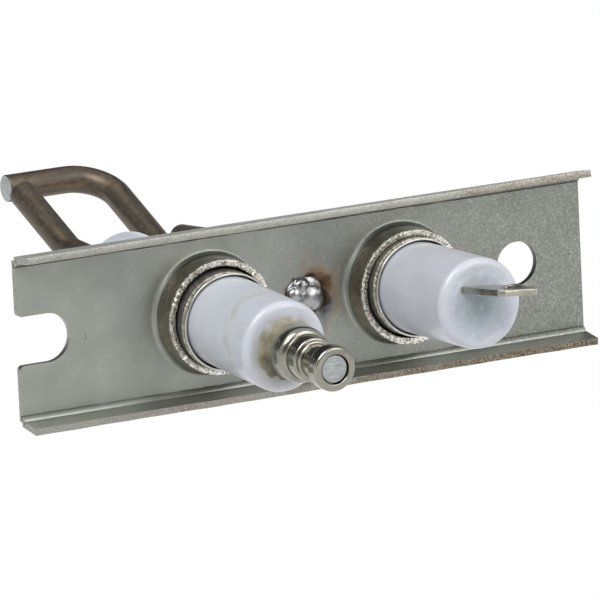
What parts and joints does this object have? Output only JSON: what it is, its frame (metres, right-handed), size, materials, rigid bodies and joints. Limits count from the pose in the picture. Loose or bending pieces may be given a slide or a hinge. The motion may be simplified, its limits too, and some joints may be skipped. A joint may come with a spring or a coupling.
{
  "type": "ignition electrode",
  "caption": "Burner ignition and flame sensing electrodes in ceramic insulators with an earth rod, on a flanged sheet steel bracket.",
  "frame": {"origin": "centre of the fixing hole on the web's mounting face, which is the side that the electrode rods leave", "axes": "+X along the bracket from the open slot to the fixing hole, -Y out of the terminal side, +Y along the electrode rods, +Z across the bracket, the way the rods rise"},
  "size_m": [0.09, 0.1058, 0.0254],
  "materials": {
    "plated_sheet": "satin nickel plate",
    "ferrule_steel": "satin",
    "weld_steel": "bright, as welded",
    "glazed_ceramic": "glazed",
    "cement": "matte",
    "stained_cement": "matte",
    "electrode_alloy": "oxidised",
    "nickel_plate": "bright nickel plate"
  },
  "bodies": {
    "root": {"bracket": "plated_sheet", "ignition_ferrule": "ferrule_steel", "sensing_ferrule": "ferrule_steel", "ferrule_tack_welds": "weld_steel", "ignition_insulator": "glazed_ceramic", "sensing_insulator": "glazed_ceramic", "ignition_bond_ring": "cement", "sensing_bond_ring": "cement", "ignition_rod": "electrode_alloy", "sensing_rod": "electrode_alloy", "earth_rod": "electrode_alloy", "earth_weld_bead": "weld_steel", "earth_weld_fillet": "weld_steel", "ignition_terminal": "nickel_plate", "ignition_front_cement": "stained_cement", "ignition_rear_cement": "cement", "sensing_blade": "nickel_plate", "sensing_blade_nugget": "weld_steel", "sensing_front_cement": "cement", "sensing_rear_cement": "cement"}
  },
  "joints": []
}
